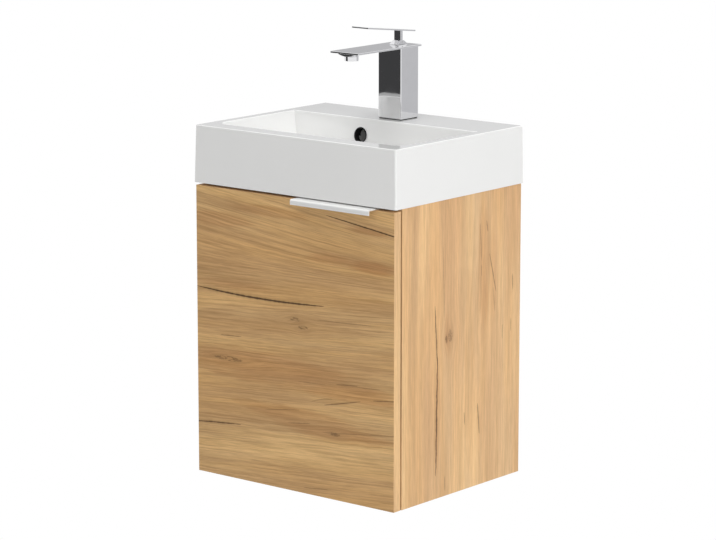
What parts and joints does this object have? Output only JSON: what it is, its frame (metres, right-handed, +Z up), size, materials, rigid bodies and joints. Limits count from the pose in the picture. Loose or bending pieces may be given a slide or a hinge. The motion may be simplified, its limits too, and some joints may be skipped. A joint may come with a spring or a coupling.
{
  "type": "cloakroom vanity unit",
  "caption": "Wall-hung cloakroom vanity: ceramic basin with a single-lever mixer on a one-door oak cabinet with concealed hinges.",
  "frame": {"origin": "on the wall face, midway between the four fixing holes of the two wall plates", "axes": "+X to the right seen from the front, +Y towards the wall, +Z up"},
  "size_m": [0.4044, 0.333, 0.7083],
  "materials": {
    "oak_board": "satin oak decor with open cracks and knots",
    "beech_dowel": "plain fluted",
    "ceramic": "gloss white glaze",
    "chrome": "polished",
    "satin_aluminium": "satin",
    "steel": "nickel plated",
    "zinc": "die cast",
    "brass": "turned",
    "white_plastic": "moulded",
    "black_rubber": "matt",
    "clear_bumper": "soft clear"
  },
  "bodies": {
    "cabinet": {"side_left": "oak_board", "side_right": "oak_board", "bottom_panel": "oak_board", "front_rail": "oak_board", "back_rail_top": "oak_board", "back_rail_bottom": "oak_board", "shelf": "oak_board", "shelf_pins": "steel", "dowels": "beech_dowel", "cam_locks": "zinc", "cam_bolts": "steel", "hangers": "steel", "hanger_hooks": "steel", "hanger_screws": "steel", "wall_plates": "steel", "mounting_plates": "steel", "plate_screws": "steel", "hinge_arms": "steel", "arm_pins": "steel", "basin": "ceramic", "overflow_ring": "chrome", "waste_body": "chrome", "plug_guide": "white_plastic", "waste_upper_seal": "black_rubber", "waste_lower_seal": "black_rubber", "waste_nut": "white_plastic", "trap_inlet_nut": "white_plastic", "trap_inlet_tube": "white_plastic", "trap_body": "white_plastic", "trap_cup": "white_plastic", "trap_outlet_nut": "white_plastic", "trap_outlet_pipe": "white_plastic", "tap_gasket": "black_rubber", "tap_body": "chrome", "aerator_shell": "chrome", "aerator_insert": "white_plastic", "mixer_cartridge": "white_plastic", "cartridge_nut": "brass", "base_insert": "brass", "tap_stud": "steel", "horseshoe_gasket": "black_rubber", "horseshoe_washer": "steel", "tap_nut": "brass"},
    "outer_links": {"upper_outer_link": "steel", "lower_outer_link": "steel"},
    "door": {"door_panel": "oak_board", "handle": "satin_aluminium", "handle_screws": "steel", "door_bumpers": "clear_bumper", "upper_hinge_cup": "steel", "lower_hinge_cup": "steel", "cup_screws": "steel", "cup_pins": "steel"},
    "inner_links": {"upper_inner_link": "steel", "lower_inner_link": "steel"},
    "mixer_turret": {"lever_collar": "chrome", "lever_pin": "steel"},
    "mixer_lever": {"lever": "chrome"},
    "plug": {"waste_plug": "chrome"}
  },
  "joints": [
    {"name": "outer_link_swing", "type": "hinge", "parent": "cabinet", "child": "outer_links", "pos_m": [-0.155, -0.286, 0], "axis": [0, 0, 1], "range_deg": [0, 23.75]},
    {"name": "door_swing", "type": "hinge", "parent": "outer_links", "child": "door", "pos_m": [-0.187, -0.30267, 0], "axis": [0, 0, -1], "range_deg": [0, 118.75]},
    {"name": "inner_link_swing", "type": "hinge", "parent": "door", "child": "inner_links", "pos_m": [-0.1859, -0.30706, 0], "axis": [0, 0, 1], "range_deg": [0, 109.25]},
    {"name": "mixer_turn", "type": "hinge", "parent": "cabinet", "child": "mixer_turret", "pos_m": [0, -0.059, 0.2527], "axis": [0, 0, 1], "range_deg": [-45, 45]},
    {"name": "mixer_lift", "type": "hinge", "parent": "mixer_turret", "child": "mixer_lever", "pos_m": [0, -0.059, 0.2563], "axis": [-1, 0, 0], "range_deg": [0, 15]},
    {"name": "plug_lift", "type": "slide", "parent": "cabinet", "child": "plug", "axis": [0, 0, 1], "range_m": [0, 0.008]}
  ],
  "couplings": [
    {"joint": "outer_link_swing", "follows": "door_swing", "ratio": 0.2},
    {"joint": "inner_link_swing", "follows": "door_swing", "ratio": 0.92}
  ]
}
